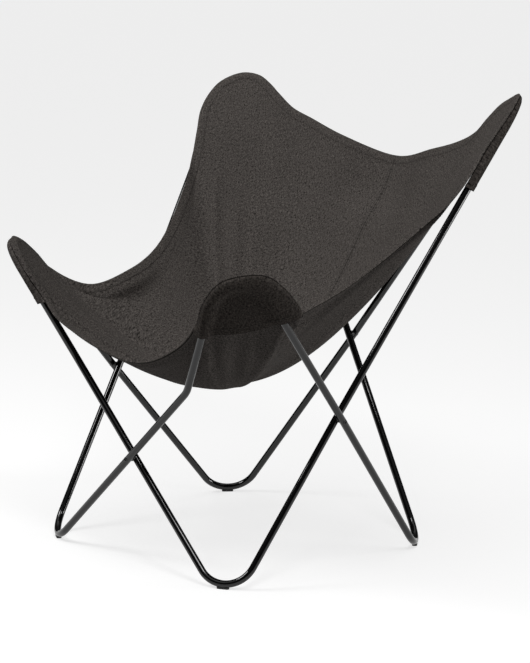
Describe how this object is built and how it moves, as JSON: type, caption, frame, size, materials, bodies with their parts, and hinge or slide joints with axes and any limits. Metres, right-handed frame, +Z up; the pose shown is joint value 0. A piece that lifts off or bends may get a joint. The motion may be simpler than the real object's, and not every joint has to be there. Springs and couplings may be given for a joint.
{
  "type": "butterfly sling lounge chair",
  "caption": "Lounge chair with a frame of crossing bent round steel rods and a canvas sling hung on its corners by sewn pockets.",
  "frame": {"origin": "on the floor under the middle of the whole chair's bounding box", "axes": "+Z up; +Y towards the back of the chair, so that the sitter faces -Y; +X towards the sitter's left"},
  "size_m": [0.8102, 0.8004, 0.9018],
  "materials": {
    "frame_steel": "smooth glossy black coating",
    "fastener_steel": "blackened steel",
    "glide_rubber": "matt black",
    "sling_canvas": "coarse woven canvas in warm charcoal"
  },
  "bodies": {
    "root": {"frame_rod_front_left": "frame_steel", "foot_glide_front_left": "glide_rubber", "joint_pin_front_left": "fastener_steel", "frame_rod_front_right": "frame_steel", "foot_glide_front_right": "glide_rubber", "joint_pin_front_right": "fastener_steel", "frame_rod_back_left": "frame_steel", "foot_glide_back_left": "glide_rubber", "joint_pin_back_left": "fastener_steel", "frame_rod_back_right": "frame_steel", "foot_glide_back_right": "glide_rubber", "joint_pin_back_right": "fastener_steel", "cross_screw_front": "fastener_steel", "cross_spacer_front": "fastener_steel", "cross_screw_back": "fastener_steel", "cross_spacer_back": "fastener_steel", "cross_screw_left": "fastener_steel", "cross_spacer_left": "fastener_steel", "cross_screw_right": "fastener_steel", "cross_spacer_right": "fastener_steel", "sling_half_left": "sling_canvas", "sling_pocket_front_left": "sling_canvas", "sling_pocket_back_left": "sling_canvas", "sling_half_right": "sling_canvas", "sling_pocket_front_right": "sling_canvas", "sling_pocket_back_right": "sling_canvas"}
  },
  "joints": []
}
